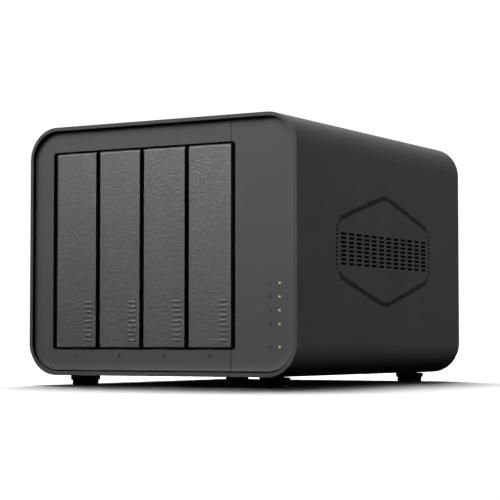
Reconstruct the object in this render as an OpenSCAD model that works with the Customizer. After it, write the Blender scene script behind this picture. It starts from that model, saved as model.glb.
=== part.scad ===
// Four-bay desktop network storage enclosure with slide-out drive trays.
// Millimetres. +X is right, +Y is back, +Z is up, and the front faces -Y.
// Origin: centre of the footprint, on the surface that the feet stand on.

/* [Housing] */
// Overall width of the sleeve
body_w = 181; // [181:0.5:184]
// Overall depth of the sleeve, front rim to rear rim
body_d = 219; // [218:0.5:224]
// Height of the sleeve without its feet
body_h = 146; // [146:0.5:149]
// Outer corner radius of the sleeve
corner_r = 19; // [17:0.5:20]
// Wall thickness of the sleeve
shell_t = 2.3; // [2:0.1:2.4]
// X of the seam between the main shell and the side cover
seam_x = 47.2; // [47.2:0.1:47.6]
// Width of the seam
seam_gap = 0.3; // [0.2:0.1:0.4]

/* [Front panel] */
// Depth of the front panel's face behind the sleeve's front rim
panel_recess = 2.8; // [2.2:0.1:3]
// Thickness of the front panel
panel_t = 2.2; // [2:0.1:2.4]
// Dark groove between the front panel and the sleeve
panel_groove = 0.9; // [0.6:0.1:1.2]
// Width of the raised border around the front panel
border_w = 1.2; // [1:0.1:2]
// Height of the raised border above the panel's face
border_h = 1.4; // [1:0.1:1.8]
// Height of the first bay's status lamp above the sleeve's underside
lamp_top_h = 51.7; // [50:0.1:53]
// Distance from one bay's lamp down to the next
lamp_pitch = 7.5; // [7:0.1:8]
// Height of the power lamp above the sleeve's underside
power_lamp_h = 16.7; // [16:0.1:18]
// X of the column of status lamps
lamp_x = 78; // [76:0.5:80]
// Diameter of a status lamp
lamp_d = 1.3; // [1:0.1:1.6]

/* [Drive bays] */
// Number of bays
bays = 4; // [4:4]
// Distance from one bay's centre to the next
bay_pitch = 30.55; // [30.4:0.05:30.6]
// X of the middle of the row of bays
bays_mid_x = -12.6; // [-12.7:0.1:-12.5]
// Width of a tray
tray_w = 27.6; // [27.4:0.1:27.8]
// Height of a tray's front
tray_face_h = 114.3; // [114:0.1:114.4]
// Height of the tray front's lower edge above the sleeve's underside
tray_face_z = 15.8; // [15.8:0.1:16]
// How far a tray slides out
tray_travel = 165; // [120:5:180]
// Thickness of the rocker handle's plate
handle_t = 2.4; // [2.2:0.1:2.5]
// Diameter of the handle's hinge pin
pin_d = 2; // [1.6:0.1:2]

/* [Side vents] */
// Diameter of the round holes in the hexagonal ring's upright sides
vent_hole_d = 1.8; // [1.5:0.1:1.8]
// Pitch of the round holes, and of the rows of short slots
vent_pitch = 2.45; // [2.4:0.05:2.6]
// Half the width of the hexagonal ring
vent_half_w = 62.5; // [61:0.5:64]
// Half the height of the hexagonal ring
vent_half_h = 31.5; // [30:0.5:34]
// Half the length of the ring's upright sides
vent_side_h = 15.5; // [15:0.1:16]
// Pitch of the narrow upright slots along the ring's slanting sides
vent_slit_pitch = 1.75; // [1.6:0.05:2]
// Columns of short slots inside the ring
slot_columns = 12; // [8:1:12]
// Rows of short slots inside the ring
slot_rows = 8; // [4:1:8]

/* [Feet] */
// Height of the sleeve's underside above the table
foot_h = 6; // [6:0.5:8]
// Diameter of the rubber pad
foot_d = 15.5; // [14:0.5:16]
// Distance of a foot's centre from the middle, left and right
foot_x = 64.7; // [62:0.1:65]
// Distance of a foot's centre from the middle, front and back
foot_y = 88.3; // [84:0.1:90]

/* [Fan] */
// Side of the square fan
fan_side = 120; // [120:120]
// Depth of the fan
fan_t = 25; // [20:1:25]
// Number of fan blades
blades = 7; // [5:1:9]

/* [Hidden] */
$fn = 64;
eps = 0.01;
far = 400;

// Sleeve, in the object's frame
front_y = -body_d / 2;
back_y = body_d / 2;
floor_z = foot_h;
top_z = foot_h + body_h;
mid_z = foot_h + body_h / 2;
inner_x = body_w / 2 - shell_t;
inner_floor_z = floor_z + shell_t;
inner_top_z = top_z - shell_t;
seam_left = seam_x - seam_gap / 2;
seam_right = seam_x + seam_gap / 2;

// Front panel and the opening for the trays
face_y = front_y + panel_recess;
panel_back_y = face_y + panel_t;
opening_x = [bays_mid_x - 2 * bay_pitch - 1.5, bays_mid_x + 2 * bay_pitch + 1.3];
opening_z = [floor_z + tray_face_z - 0.9, floor_z + tray_face_z + tray_face_h + 1.1];
opening_r = 2;
lamp_heights = [for (n = [0 : bays - 1]) lamp_top_h - n * lamp_pitch, power_lamp_h];

// Trays and their rocker handles
tray_wall = 1.4;
rail_h = 3;
rail_low_z = floor_z + tray_face_z + 3.2;
rail_high_z = floor_z + tray_face_z + tray_face_h - 3.1;
tray_back_y = 52;
tray_bar_y = [-100, -97];
handle_z = [floor_z + tray_face_z, floor_z + tray_face_z + tray_face_h];
handle_back_y = face_y + handle_t;
pivot_y = face_y + 4.5;
pivot_z = handle_z[0] + 14;
handle_clear_y = -94.5;
handle_clear_z = pivot_z + 2.2;
lug_r = 1.8;
pin_r = pin_d / 2;
running = 0.05;
plunger_z = 120;
plunger_r = 2.5;
screw_pattern_y = 44.45;
screw_pattern_z = 95.25;
screw_mid_y = -10;
screw_hole_r = 1.8;

// Sheet-metal chassis
sheet_t = 1;
base_z = [floor_z + 3.4, floor_z + 4.6];
wall_left_x = opening_x[0] - 0.8;
wall_right_x = opening_x[1];
wall_z = [base_z[1], 140];
wall_y = [-103.5, 103.2];
guide_y = [-93, 56];
cage_y = [-93, 76];
guide_low_z = [opening_z[0] - 0.5, rail_low_z - 0.3];
guide_high_z = [rail_high_z + 0.3, opening_z[1] + 0.4];
backplane_y = [63, 64.6];

// Rear panel, fan and electronics
rear_y = [103.3, 104.5];
port_y = 105.3;
fan_x = bays_mid_x;
fan_z = mid_z;
fan_y = [rear_y[0] - fan_t, rear_y[0]];
fan_hole_gap = 52.5;
fan_bore_r = 58;
board_x = [56, 57.6];
lan_z = [100, 82];
usb_z = [64.5, 49.5];
hdmi_z = 120;
dc_z = 31;
button_x = 64;
button_z = 134;
shell_screws = [[-80.4, mid_z + 63.4], [-80.4, mid_z - 63.4], [42, mid_z + 66], [42, mid_z - 66]];

function bay_x(n) = bays_mid_x + (n - (bays + 1) / 2) * bay_pitch;

// Height of the hexagonal ring above its middle at a distance y from its middle; its peak is rounded
ring_peak_r = 5;
ring_slope = (vent_half_h - vent_side_h) / (vent_half_w - ring_peak_r);
function ring_height(y) = vent_half_h - ring_slope * (norm([y, ring_peak_r]) - ring_peak_r);

// Distance of the ring's upright sides from its middle at a height z; their ends lean inwards
function ring_reach(z) = vent_half_w - 0.18 * pow(max(0, abs(z) - vent_side_h + 5), 2);

// ---------- shared shapes ----------

// A block between two values of x, of y and of z
module block(x, y, z) {
  translate([x[0], y[0], z[0]]) cube([x[1] - x[0], y[1] - y[0], z[1] - z[0]]);
}

// Draws a flat shape of x and z, between two values of y
module along_y(y) {
  translate([0, y[1], 0]) rotate([90, 0, 0]) linear_extrude(y[1] - y[0]) children();
}

// Draws a flat shape of y and z, between two values of x
module along_x(x) {
  translate([x[0], 0, 0]) rotate([90, 0, 90]) linear_extrude(x[1] - x[0]) children();
}

module rod_x(r, x, y, z) {
  translate([x[0], y, z]) rotate([0, 90, 0]) cylinder(r = r, h = x[1] - x[0]);
}

module rod_y(r, y, x, z) {
  translate([x, y[1], z]) rotate([90, 0, 0]) cylinder(r = r, h = y[1] - y[0]);
}

module rod_z(r, z, x, y) {
  translate([x, y, z[0]]) cylinder(r = r, h = z[1] - z[0]);
}

module round_rect(w, h, r) {
  square([w - 2 * r, h], center = true);
  square([w, h - 2 * r], center = true);
  for (sx = [-1, 1], sz = [-1, 1]) translate([sx * (w / 2 - r), sz * (h / 2 - r)]) circle(r);
}

// The sleeve's outline, moved inwards by a margin
module sleeve_outline(margin) {
  translate([0, mid_z]) round_rect(body_w - 2 * margin, body_h - 2 * margin, corner_r - margin);
}

module sleeve() {
  along_y([front_y, back_y]) difference() {
    sleeve_outline(0);
    sleeve_outline(shell_t);
  }
}

// The perforations of one side wall, as a flat shape of y and z
module vent_shapes() {
  slit = [1, 3.1];
  slot = [6.6, 1.3];
  slot_pitch = 9.85;
  slot_drop = 0.5;
  slits = floor((vent_half_w - 4.5) / vent_slit_pitch);
  holes = floor((vent_side_h + 0.5) / vent_pitch);
  translate([0, mid_z]) {
    for (k = [-slits : slits], side = [-1, 1]) {
      y = k * vent_slit_pitch;
      translate([y, side * ring_height(y)]) square(slit, center = true);
    }
    for (k = [-holes : holes], side = [-1, 1]) {
      z = k * vent_pitch;
      translate([side * ring_reach(z), z]) circle(vent_hole_d / 2, $fn = 16);
    }
    for (c = [0 : slot_columns - 1], r = [0 : slot_rows - 1]) {
      y = (c - (slot_columns - 1) / 2) * slot_pitch;
      z = (r - (slot_rows - 1) / 2) * vent_pitch - slot_drop;
      translate([y, z]) square(slot, center = true);
    }
  }
}

// ---------- housing ----------

// Left, top and bottom of the sleeve, with a tongue under the seam and screw bosses at the back
module main_shell() {
  boss_r = 4.2;
  boss_y = [90, rear_y[0]];
  color("#3a3b3d") difference() {
    union() {
      difference() {
        sleeve();
        block([seam_left, far], [-far, far], [-far, far]);
      }
      block([seam_x - 7, seam_left], [-98, 101], [inner_top_z - 1.5, inner_top_z + eps]);
      block([seam_left - eps, seam_x + 6], [-98, 101], [inner_top_z - 1.5, inner_top_z - 0.3]);
      for (x = [-50, 20]) block([x, x + 3], [-90, 80], [inner_floor_z - eps, base_z[0]]);
      for (p = shell_screws) rod_y(boss_r, boss_y, p[0], p[1]);
      for (i = [2, 3]) {
        p = shell_screws[i];
        z = i == 2 ? [p[1], inner_top_z + eps] : [inner_floor_z - eps, p[1]];
        block([p[0] - boss_r, p[0] + boss_r], boss_y, z);
      }
    }
    along_x([-body_w / 2 - 1, -inner_x + 1]) vent_shapes();
    for (sy = [-1, 1]) rod_z(5.4, [floor_z - 1, inner_floor_z + 0.5], -foot_x, sy * foot_y);
    for (p = shell_screws) rod_y(1.3, [93, rear_y[0] + 1], p[0], p[1]);
  }
}

// Right side of the sleeve, which pulls off sideways; slots in its lower edge pass the right feet
module side_cover() {
  slot_half = 5.5;
  color("#38393b") difference() {
    sleeve();
    block([-far, seam_right], [-far, far], [-far, far]);
    along_x([inner_x - 1, body_w / 2 + 1]) vent_shapes();
    for (sy = [-1, 1]) {
      block([seam_x - 1, foot_x], [sy * foot_y - slot_half, sy * foot_y + slot_half],
            [floor_z - 1, inner_floor_z + 1]);
      rod_z(slot_half, [floor_z - 1, inner_floor_z + 1], foot_x, sy * foot_y);
    }
  }
}

// The front panel with its raised border and the bays' opening, before the seam cuts it in two
module front_panel() {
  difference() {
    union() {
      along_y([face_y, panel_back_y]) sleeve_outline(shell_t + panel_groove);
      along_y([face_y - border_h, face_y + eps]) difference() {
        sleeve_outline(shell_t + panel_groove);
        sleeve_outline(shell_t + panel_groove + border_w);
      }
    }
    along_y([front_y - 1, panel_back_y + 1])
      translate([(opening_x[0] + opening_x[1]) / 2, (opening_z[0] + opening_z[1]) / 2])
        round_rect(opening_x[1] - opening_x[0], opening_z[1] - opening_z[0], opening_r);
  }
}

// Front panel around the bays, with clips that reach the main shell
module bay_bezel() {
  clip_y = [panel_back_y - eps, panel_back_y + 3];
  color("#4a4b4d") {
    difference() {
      front_panel();
      block([seam_left, far], [-far, far], [-far, far]);
    }
    for (x = [-55, 25]) {
      block([x, x + 12], clip_y, [inner_top_z - 4, inner_top_z]);
      block([x, x + 12], clip_y, [inner_floor_z, inner_floor_z + 4]);
    }
  }
}

// Front panel right of the seam, with the lamps' holes and tabs that reach the cage
module indicator_panel() {
  color("#4a4b4d") {
    difference() {
      front_panel();
      block([-far, seam_right], [-far, far], [-far, far]);
      for (h = lamp_heights) rod_y(lamp_d / 2 + 0.1, [front_y, panel_back_y + 1], lamp_x, floor_z + h);
    }
    for (z = [70, 118])
      block([wall_right_x + sheet_t, wall_right_x + 3.2], [panel_back_y - eps, -96], [z, z + 10]);
  }
}

// Five light pipes, from the lamp board to the front panel's face
module status_lamps() {
  color("#c8d488") for (h = lamp_heights) rod_y(lamp_d / 2, [face_y - 0.15, -101.2], lamp_x, floor_z + h);
}

module lamp_board() {
  color("#1f5a36") block([72, 84], [-101.2, -100], [floor_z + 12, floor_z + 56]);
}

// Angle that holds the lamp board on the cage
module lamp_bracket() {
  x = wall_right_x + sheet_t;
  color("#b9bcc0") {
    block([x, 84], [-99, -98], [22, 58]);
    block([x, x + 1.2], [-98 - eps, -82], [22, 58]);
    for (z = [27, 53]) rod_y(2, [-100, -99 + eps], 79, z);
  }
}

// ---------- feet and chassis ----------

// Four cups that hold the rubber feet and carry the base plate
module foot_cups() {
  color("#202123") for (sx = [-1, 1], sy = [-1, 1]) difference() {
    union() {
      rod_z(foot_d / 2 + 1, [foot_h / 2, floor_z - 0.3], sx * foot_x, sy * foot_y);
      rod_z(5, [floor_z - 0.5, base_z[0]], sx * foot_x, sy * foot_y);
    }
    rod_z(foot_d / 2, [0, foot_h / 2 + 1], sx * foot_x, sy * foot_y);
  }
}

module foot(sx, sy) {
  color("#151515") rod_z(foot_d / 2, [0, foot_h / 2 + 1], sx * foot_x, sy * foot_y);
}

module base_plate() {
  color("#b9bcc0") difference() {
    block([-76, 76], [-98, 102], base_z);
    block([shell_screws[3][0] - 6, shell_screws[3][0] + 6], [88, 103], [base_z[0] - 1, base_z[1] + 1]);
    for (x = [-40, -15, 10], y = [-60, -20, 20, 60]) rod_z(6, [base_z[0] - 1, base_z[1] + 1], x, y);
  }
}

// Upright wall of the drive cage, with long airflow slots
module cage_wall(x) {
  difference() {
    block([x, x + sheet_t], wall_y, wall_z);
    for (y = [-80, -45, -10, 25], z = [36, 60, 84, 108]) block([x - 1, x + 2], [y, y + 26], [z, z + 8]);
  }
}

module cage_left_wall() {
  color("#b9bcc0") cage_wall(wall_left_x);
}

// Right wall, with a window for the connector between the two circuit boards
module cage_right_wall() {
  color("#b9bcc0") difference() {
    cage_wall(wall_right_x);
    block([wall_right_x - 1, wall_right_x + 2], [58, 74], [56, 104]);
  }
}

module cage_top() {
  color("#b9bcc0") block([wall_left_x + sheet_t, wall_right_x], cage_y, [guide_high_z[1], guide_high_z[1] + sheet_t]);
}

module cage_bottom() {
  color("#b9bcc0") block([wall_left_x + sheet_t, wall_right_x], cage_y, [guide_low_z[0] - sheet_t, guide_low_z[0]]);
}

// Plastic guide with a rib on each side of every tray
module guide(slab_z, rib_z) {
  rib_w = 1.8;
  color("#232426") {
    block([wall_left_x + sheet_t, wall_right_x], guide_y, slab_z);
    for (i = [0 : bays]) {
      x = bay_x(i) + bay_pitch / 2;
      block([x - rib_w / 2, x + rib_w / 2], guide_y, rib_z);
    }
  }
}

module guide_top() {
  guide(guide_high_z, [guide_high_z[0] - 7, guide_high_z[0] + eps]);
}

module guide_bottom() {
  guide(guide_low_z, [guide_low_z[1] - eps, guide_low_z[1] + 7]);
}

// ---------- electronics ----------

// Board behind the bays that the drives plug into, with an airflow window for each bay
module backplane_board() {
  color("#1f5a36") difference() {
    block([wall_left_x + 1.5, wall_right_x - 0.5], backplane_y, [guide_low_z[0] + 0.2, guide_high_z[1] - 0.2]);
    for (n = [1 : bays]) block([bay_x(n) - 1, bay_x(n) + 11], [backplane_y[0] - 1, backplane_y[1] + 1], [30, 128]);
  }
}

// One data and power socket for each drive
module sata_sockets() {
  color("#17181a") for (n = [1 : bays]) difference() {
    block([bay_x(n) - 12, bay_x(n) - 5], [backplane_y[0] - 8, backplane_y[0]], [41, 83]);
    block([bay_x(n) - 10, bay_x(n) - 8.6], [backplane_y[0] - 9, backplane_y[0] - 3], [43, 81]);
  }
}

module backplane_connector() {
  color("#17181a") block([45, board_x[0]], [backplane_y[1], backplane_y[1] + 5.4], [60, 100]);
}

module mainboard() {
  color("#1f5a36") block(board_x, [-60, 102], [22, 138]);
}

module board_standoffs() {
  color("#c9b26a") for (y = [-52, 75], z = [30, 130]) rod_x(3, [wall_right_x + sheet_t, board_x[0]], y, z);
}

module processor() {
  color("#8f9296") block([board_x[1], board_x[1] + 1.4], [13, 37], [80, 104]);
}

// Finned cooler on the processor
module heat_sink() {
  base_x = board_x[1] + 1.4;
  color("#a9acb0") {
    block([base_x, base_x + 3], [-5, 55], [62, 122]);
    for (i = [0 : 9]) block([base_x + 3 - eps, base_x + 21], [-5, 55], [62.9 + i * 6.3, 64.2 + i * 6.3]);
  }
}

module memory_socket() {
  color("#17181a") difference() {
    block([board_x[1], board_x[1] + 5], [-51, -43], [40, 110]);
    block([board_x[1] + 2.4, board_x[1] + 3.6], [-46, -42], [41.2, 108.8]);
  }
}

module memory_module() {
  color("#1b6b3e") block([board_x[1] + 2.4, board_x[1] + 3.6], [-46, -16], [41.2, 108.8]);
}

// Two network sockets
module lan_ports() {
  color("#c5c8cc") for (z = lan_z) difference() {
    block([board_x[1], board_x[1] + 13.5], [84, port_y], [z - 8, z + 8]);
    block([board_x[1] + 2, board_x[1] + 10.4], [90, port_y + 1], [z - 6, z + 6]);
    block([board_x[1] + 9, board_x[1] + 12.4], [90, port_y + 1], [z - 3, z + 3]);
  }
}

// Two USB sockets, each a metal shell around a tongue
module usb_ports() {
  color("#c5c8cc") for (z = usb_z) {
    difference() {
      block([board_x[1], board_x[1] + 5.8], [91, port_y], [z - 6.55, z + 6.55]);
      block([board_x[1] + 0.4, board_x[1] + 5.4], [93, port_y + 1], [z - 6.15, z + 6.15]);
    }
    block([board_x[1] + 0.8, board_x[1] + 2.6], [93 - eps, port_y - 0.6], [z - 5.5, z + 5.5]);
  }
}

module hdmi_port() {
  color("#c5c8cc") difference() {
    block([board_x[1], board_x[1] + 5.6], [94, port_y], [hdmi_z - 7.5, hdmi_z + 7.5]);
    block([board_x[1] + 0.6, board_x[1] + 5], [96, port_y + 1], [hdmi_z - 7, hdmi_z + 7]);
  }
}

// Inlet for the power supply's barrel plug, with its centre pin
module dc_jack() {
  x = board_x[1] + 5.5;
  color("#17181a") {
    difference() {
      block([board_x[1], board_x[1] + 11], [91, port_y], [dc_z - 4.5, dc_z + 4.5]);
      rod_y(3.2, [95, port_y + 1], x, dc_z);
    }
    rod_y(1, [95 - eps, port_y - 0.5], x, dc_z);
  }
}

module power_switch() {
  color("#17181a") block([board_x[1], 67], [90, 97], [button_z - 4, button_z + 4]);
}

// Push button with a collar behind the rear panel and a stem towards the switch
module power_button() {
  color("#2a2b2d") {
    rod_y(4.5, [102.8, 106.3], button_x, button_z);
    rod_y(5.6, [101.3, 102.9], button_x, button_z);
    rod_y(2, [98.7, 101.4], button_x, button_z);
  }
}

// ---------- rear panel and fan ----------

// Concentric slots over the fan, broken by four spokes, as a flat shape
module fan_grille() {
  slot_w = 3.2;
  spoke_w = 4;
  difference() {
    for (i = [0 : 8]) {
      r = 9 + i * 5.4;
      difference() {
        circle(r + slot_w);
        circle(r);
      }
    }
    for (a = [45, 135]) rotate(a) square([fan_side, spoke_w], center = true);
  }
}

module rear_panel() {
  gap = 0.35;
  x = board_x[1];
  y = [rear_y[0] - 1, rear_y[1] + 1];
  color("#3a3b3d") difference() {
    along_y(rear_y) difference() {
      sleeve_outline(shell_t + 1.2);
      translate([fan_x, fan_z]) fan_grille();
    }
    for (sx = [-1, 1], sz = [-1, 1]) rod_y(2.3, y, fan_x + sx * fan_hole_gap, fan_z + sz * fan_hole_gap);
    for (p = shell_screws) rod_y(1.6, y, p[0], p[1]);
    for (z = lan_z) block([x - gap, x + 13.5 + gap], y, [z - 8 - gap, z + 8 + gap]);
    for (z = usb_z) block([x - gap, x + 5.8 + gap], y, [z - 6.55 - gap, z + 6.55 + gap]);
    block([x - gap, x + 5.6 + gap], y, [hdmi_z - 7.5 - gap, hdmi_z + 7.5 + gap]);
    block([x - gap, x + 11 + gap], y, [dc_z - 4.5 - gap, dc_z + 4.5 + gap]);
    rod_y(4.8, y, button_x, button_z);
    block([77.5, 80.5], y, [30, 37]);
  }
}

// A screw along y: head behind the rear panel, shank towards the front
module rear_screw(head_r, shank_r, shank_front_y, x, z) {
  rod_y(head_r, [rear_y[1], rear_y[1] + 2], x, z);
  rod_y(shank_r, [shank_front_y, rear_y[1] + eps], x, z);
}

module rear_screws() {
  color("#9a9ca0") for (p = shell_screws) rear_screw(2.5, 1.25, 94, p[0], p[1]);
}

module fan_screws() {
  color("#9a9ca0") for (sx = [-1, 1], sz = [-1, 1])
    rear_screw(3.6, 2, 95, fan_x + sx * fan_hole_gap, fan_z + sz * fan_hole_gap);
}

// Square fan housing: two flanges, a round duct between them and four struts at the back
module fan_frame() {
  flange_t = 4;
  strut_w = 5;
  strut_y = [fan_y[1] - 3, fan_y[1]];
  color("#1d1e20") difference() {
    union() {
      for (y = [fan_y[0], fan_y[1] - flange_t])
        along_y([y, y + flange_t]) translate([fan_x, fan_z]) difference() {
          round_rect(fan_side, fan_side, 6);
          circle(fan_bore_r);
        }
      along_y(fan_y) translate([fan_x, fan_z]) difference() {
        circle(fan_side / 2);
        circle(fan_bore_r);
      }
      along_y(strut_y) translate([fan_x, fan_z]) {
        circle(20);
        intersection() {
          circle(fan_bore_r + 1);
          for (a = [0, 90]) rotate(a + 20) square([fan_side, strut_w], center = true);
        }
      }
    }
    for (sx = [-1, 1], sz = [-1, 1])
      rod_y(2.15, [fan_y[0] - 1, fan_y[1] + 1], fan_x + sx * fan_hole_gap, fan_z + sz * fan_hole_gap);
  }
}

// Stator on the struts, with the bearing for the rotor's shaft
module fan_motor() {
  color("#7a5a35") difference() {
    rod_y(14, [84, fan_y[1] - 3], fan_x, fan_z);
    rod_y(1.5 + running, [83, 98], fan_x, fan_z);
  }
}

// Hub cup with its shaft and pitched blades
module fan_rotor() {
  hub_r = 20;
  blade_r = 56.5;
  hub_y = [80.3, 98.5];
  color("#2b2c2f") {
    difference() {
      rod_y(hub_r, hub_y, fan_x, fan_z);
      rod_y(hub_r - 2.5, [hub_y[0] + 2.5, hub_y[1] + 1], fan_x, fan_z);
    }
    rod_y(1.5, [hub_y[0] + 2.5 - eps, 97], fan_x, fan_z);
    intersection() {
      difference() {
        rod_y(blade_r, [hub_y[0] + 0.5, hub_y[1] - 0.5], fan_x, fan_z);
        rod_y(hub_r - 1.5, [hub_y[0], hub_y[1]], fan_x, fan_z);
      }
      translate([fan_x, (hub_y[0] + hub_y[1]) / 2, fan_z])
        for (i = [0 : blades - 1]) rotate([0, i * 360 / blades, 0])
          translate([hub_r - 1, 0, 0]) rotate([38, 0, 0]) translate([0, -20, -1]) cube([blade_r, 40, 2]);
    }
  }
}

// ---------- trays ----------

// Carrier for one drive: side plate, two rails, and a front bar with the handle's hinge lugs
module tray(n) {
  x = bay_x(n);
  left = x - tray_w / 2;
  right = x + tray_w / 2;
  color("#2d2e31") difference() {
    union() {
      block([left, left + tray_wall], [tray_bar_y[0], tray_back_y], [rail_low_z, rail_high_z]);
      block([left, right], [handle_clear_y, tray_back_y], [rail_low_z, rail_low_z + rail_h]);
      block([left, right], [tray_bar_y[0], tray_back_y], [rail_high_z - rail_h, rail_high_z]);
      block([left, right], tray_bar_y, [handle_clear_z, rail_high_z]);
      rod_y(4, [tray_bar_y[0] - 1.5, tray_bar_y[1]], x, plunger_z);
      for (side = [-1, 1]) {
        lug_x = side > 0 ? [x + 5.5, x + 8.5] : [x - 8.5, x - 5.5];
        rod_x(lug_r, lug_x, pivot_y, pivot_z);
        block(lug_x, [pivot_y, tray_bar_y[1]], [pivot_z - lug_r, handle_clear_z + 1]);
      }
    }
    block([left - 1, left + tray_wall + 1], [tray_bar_y[0] - 1, handle_clear_y], [0, handle_clear_z]);
    rod_x(pin_r, [left - 1, right + 1], pivot_y, pivot_z);
    rod_y(plunger_r + running, [tray_bar_y[0] - 2, tray_bar_y[1] + 1], x, plunger_z);
    for (sy = [-1, 1], sz = [-1, 1])
      rod_x(screw_hole_r, [left - 1, left + 2], screw_mid_y + sy * screw_pattern_y / 2,
            mid_z + sz * screw_pattern_z / 2);
    for (z = [46 : 8 : 106]) block([x - 9, x + 9], [tray_bar_y[0] - 1, tray_bar_y[1] + 1], [z, z + 4]);
  }
}

// Rocker front: the plate that fills the bay, with stiffening ribs and hinge lugs on its back
module tray_handle(n) {
  x = bay_x(n);
  edge = 0.8;
  z0 = handle_z[0];
  z1 = handle_z[1];
  color("#55575a") difference() {
    union() {
      along_x([x - tray_w / 2, x + tray_w / 2]) polygon([
        [face_y + edge, z0], [handle_back_y, z0], [handle_back_y, z1],
        [face_y + edge, z1], [face_y, z1 - edge], [face_y, z0 + edge]
      ]);
      for (side = [-1, 1]) {
        lug_x = side > 0 ? [x + 9.5, x + 12] : [x - 12, x - 9.5];
        rod_x(lug_r + 0.1, lug_x, pivot_y, pivot_z);
        block(lug_x, [handle_back_y - eps, pivot_y], [pivot_z - lug_r, pivot_z + lug_r]);
        block([x + side * 12 - 0.6, x + side * 12 + 0.6], [handle_back_y - eps, handle_back_y + 1.2], [46, 130]);
      }
    }
    rod_x(pin_r + running, [x - tray_w, x + tray_w], pivot_y, pivot_z);
  }
}

module handle_pin(n) {
  color("#c5c8cc") rod_x(pin_r, [bay_x(n) - 12.2, bay_x(n) + 12.2], pivot_y, pivot_z);
}

// Torsion spring around the pin: a coil body and two legs
module handle_spring(n) {
  x = bay_x(n);
  color("#c5c8cc") {
    difference() {
      rod_x(1.9, [x - 3, x + 3], pivot_y, pivot_z);
      rod_x(1.3, [x - 4, x + 4], pivot_y, pivot_z);
    }
    block([x + 2.3, x + 3], [pivot_y + 1.3, pivot_y + 1.9], [pivot_z, pivot_z + 9]);
    block([x - 3, x - 2.3], [pivot_y - 1.9, pivot_y - 1.3], [pivot_z, pivot_z + 9]);
  }
}

// Push-to-open plunger behind the top of the handle
module latch_plunger(n) {
  color("#d8dadd") rod_y(plunger_r, [handle_back_y + 0.3, -97.2], bay_x(n), plunger_z);
}

main_shell();
side_cover();
bay_bezel();
indicator_panel();
status_lamps();
lamp_board();
lamp_bracket();
base_plate();
foot_cups();
foot(-1, -1);  // foot_front_left
foot(1, -1);  // foot_front_right
foot(-1, 1);  // foot_back_left
foot(1, 1);  // foot_back_right
cage_left_wall();
cage_right_wall();
cage_top();
cage_bottom();
guide_top();
guide_bottom();
backplane_board();
sata_sockets();
backplane_connector();
mainboard();
board_standoffs();
processor();
heat_sink();
memory_socket();
memory_module();
lan_ports();
usb_ports();
hdmi_port();
dc_jack();
power_switch();
power_button();
rear_panel();
rear_screws();
fan_frame();
fan_motor();
fan_rotor();
fan_screws();
tray(1);  // tray_1
tray(2);  // tray_2
tray(3);  // tray_3
tray(4);  // tray_4
tray_handle(1);  // tray_handle_1
tray_handle(2);  // tray_handle_2
tray_handle(3);  // tray_handle_3
tray_handle(4);  // tray_handle_4
handle_pin(1);  // handle_pin_1
handle_pin(2);  // handle_pin_2
handle_pin(3);  // handle_pin_3
handle_pin(4);  // handle_pin_4
handle_spring(1);  // handle_spring_1
handle_spring(2);  // handle_spring_2
handle_spring(3);  // handle_spring_3
handle_spring(4);  // handle_spring_4
latch_plunger(1);  // latch_plunger_1
latch_plunger(2);  // latch_plunger_2
latch_plunger(3);  // latch_plunger_3
latch_plunger(4);  // latch_plunger_4
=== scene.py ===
"""Looks for the desktop storage enclosure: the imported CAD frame, dressed piece by piece. Metres, +Z up."""
import math
import random

import bmesh
import bpy
from mathutils import Matrix, Vector
from mathutils.geometry import delaunay_2d_cdt


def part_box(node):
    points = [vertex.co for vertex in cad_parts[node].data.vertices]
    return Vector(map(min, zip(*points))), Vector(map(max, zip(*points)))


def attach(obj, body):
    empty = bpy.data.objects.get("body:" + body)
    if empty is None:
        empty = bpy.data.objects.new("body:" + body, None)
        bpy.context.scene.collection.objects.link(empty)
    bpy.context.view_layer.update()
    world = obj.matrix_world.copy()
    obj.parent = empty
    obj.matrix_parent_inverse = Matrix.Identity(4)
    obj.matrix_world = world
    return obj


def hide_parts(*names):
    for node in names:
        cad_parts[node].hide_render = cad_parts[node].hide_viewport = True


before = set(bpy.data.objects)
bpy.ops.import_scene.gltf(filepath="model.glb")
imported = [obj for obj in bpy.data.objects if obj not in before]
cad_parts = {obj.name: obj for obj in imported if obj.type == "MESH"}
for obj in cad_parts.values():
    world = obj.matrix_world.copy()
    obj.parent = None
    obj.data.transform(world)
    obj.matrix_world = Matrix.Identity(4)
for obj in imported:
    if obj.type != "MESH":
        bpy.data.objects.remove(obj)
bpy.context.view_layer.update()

MM = 0.001
BAYS = (1, 2, 3, 4)
EDGE_ANGLE = math.radians(32)


# ---------------------------------------------------------------- places, from the frame

SLEEVE_LO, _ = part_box("main_shell")
COVER_LO, SLEEVE_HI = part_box("side_cover")
SLEEVE_W = SLEEVE_HI[0] - SLEEVE_LO[0]
SLEEVE_H = SLEEVE_HI[2] - SLEEVE_LO[2]
FRONT_Y, BACK_Y = SLEEVE_LO[1], SLEEVE_HI[1]
MID_Z = (SLEEVE_LO[2] + SLEEVE_HI[2]) / 2
CORNER_R = 19 * MM
WALL = 2.3 * MM
SEAM_RIGHT = COVER_LO[0]
SEAM_LEFT = SEAM_RIGHT - 0.3 * MM

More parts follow.
